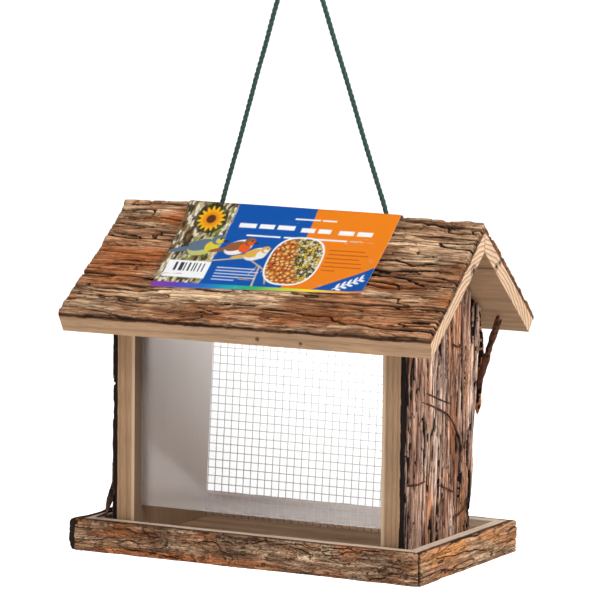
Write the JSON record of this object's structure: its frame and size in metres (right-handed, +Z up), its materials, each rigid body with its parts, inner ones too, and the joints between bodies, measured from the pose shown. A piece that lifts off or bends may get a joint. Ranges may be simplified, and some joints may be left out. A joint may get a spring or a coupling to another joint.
{
  "type": "hanging bird feeder",
  "caption": "Hanging hopper bird feeder of bark-faced slabs: tray, seed window in front, wire peanut mesh behind, hinged filling flap in the roof.",
  "frame": {"origin": "where a hook touches the inside of the cord loop's top, straight above the feeder", "axes": "+X along the ridge, -Y towards the seed window, +Z up"},
  "size_m": [0.31, 0.1844, 0.4633],
  "materials": {
    "roof_bark": "rough fissured conifer bark",
    "wall_bark": "rough stringy conifer bark",
    "rim_bark": "rough flaky conifer bark",
    "sawn_wood": "sawn, untreated",
    "clear_sheet": "clear, slightly hazy",
    "galvanised_wire": "galvanised",
    "plated_steel": "zinc plated",
    "nail_steel": "dull",
    "cord": "laid twine",
    "printed_card": "coated card, printed"
  },
  "bodies": {
    "house": {"floor_board": "sawn_wood", "front_rim": "sawn_wood", "rear_rim": "sawn_wood", "left_rim": "sawn_wood", "right_rim": "sawn_wood", "front_rim_bark": "rim_bark", "rear_rim_bark": "rim_bark", "left_rim_bark": "rim_bark", "right_rim_bark": "rim_bark", "left_wall": "sawn_wood", "right_wall": "sawn_wood", "left_wall_bark": "wall_bark", "right_wall_bark": "wall_bark", "window_pane": "clear_sheet", "mesh_panel": "galvanised_wire", "mesh_staples": "galvanised_wire", "front_roof_board": "sawn_wood", "front_roof_bark": "roof_bark", "ridge_strip": "sawn_wood", "ridge_strip_bark": "roof_bark", "hinge_fixed_leaves": "plated_steel", "hinge_pins": "plated_steel", "hinge_fixed_screws": "plated_steel", "rim_nails": "nail_steel", "wall_nails": "nail_steel", "roof_nails": "nail_steel", "cord_loop": "cord", "left_cord_knot": "cord", "right_cord_knot": "cord", "label_card": "printed_card", "label_staples": "nail_steel"},
    "flap": {"roof_flap": "sawn_wood", "roof_flap_bark": "roof_bark", "hinge_flap_leaves": "plated_steel", "hinge_flap_screws": "plated_steel"}
  },
  "joints": [
    {"name": "flap_hinge", "type": "hinge", "parent": "house", "child": "flap", "pos_m": [0, 0.03905, -0.22534], "axis": [1, 0, 0], "range_deg": [0, 140]}
  ]
}
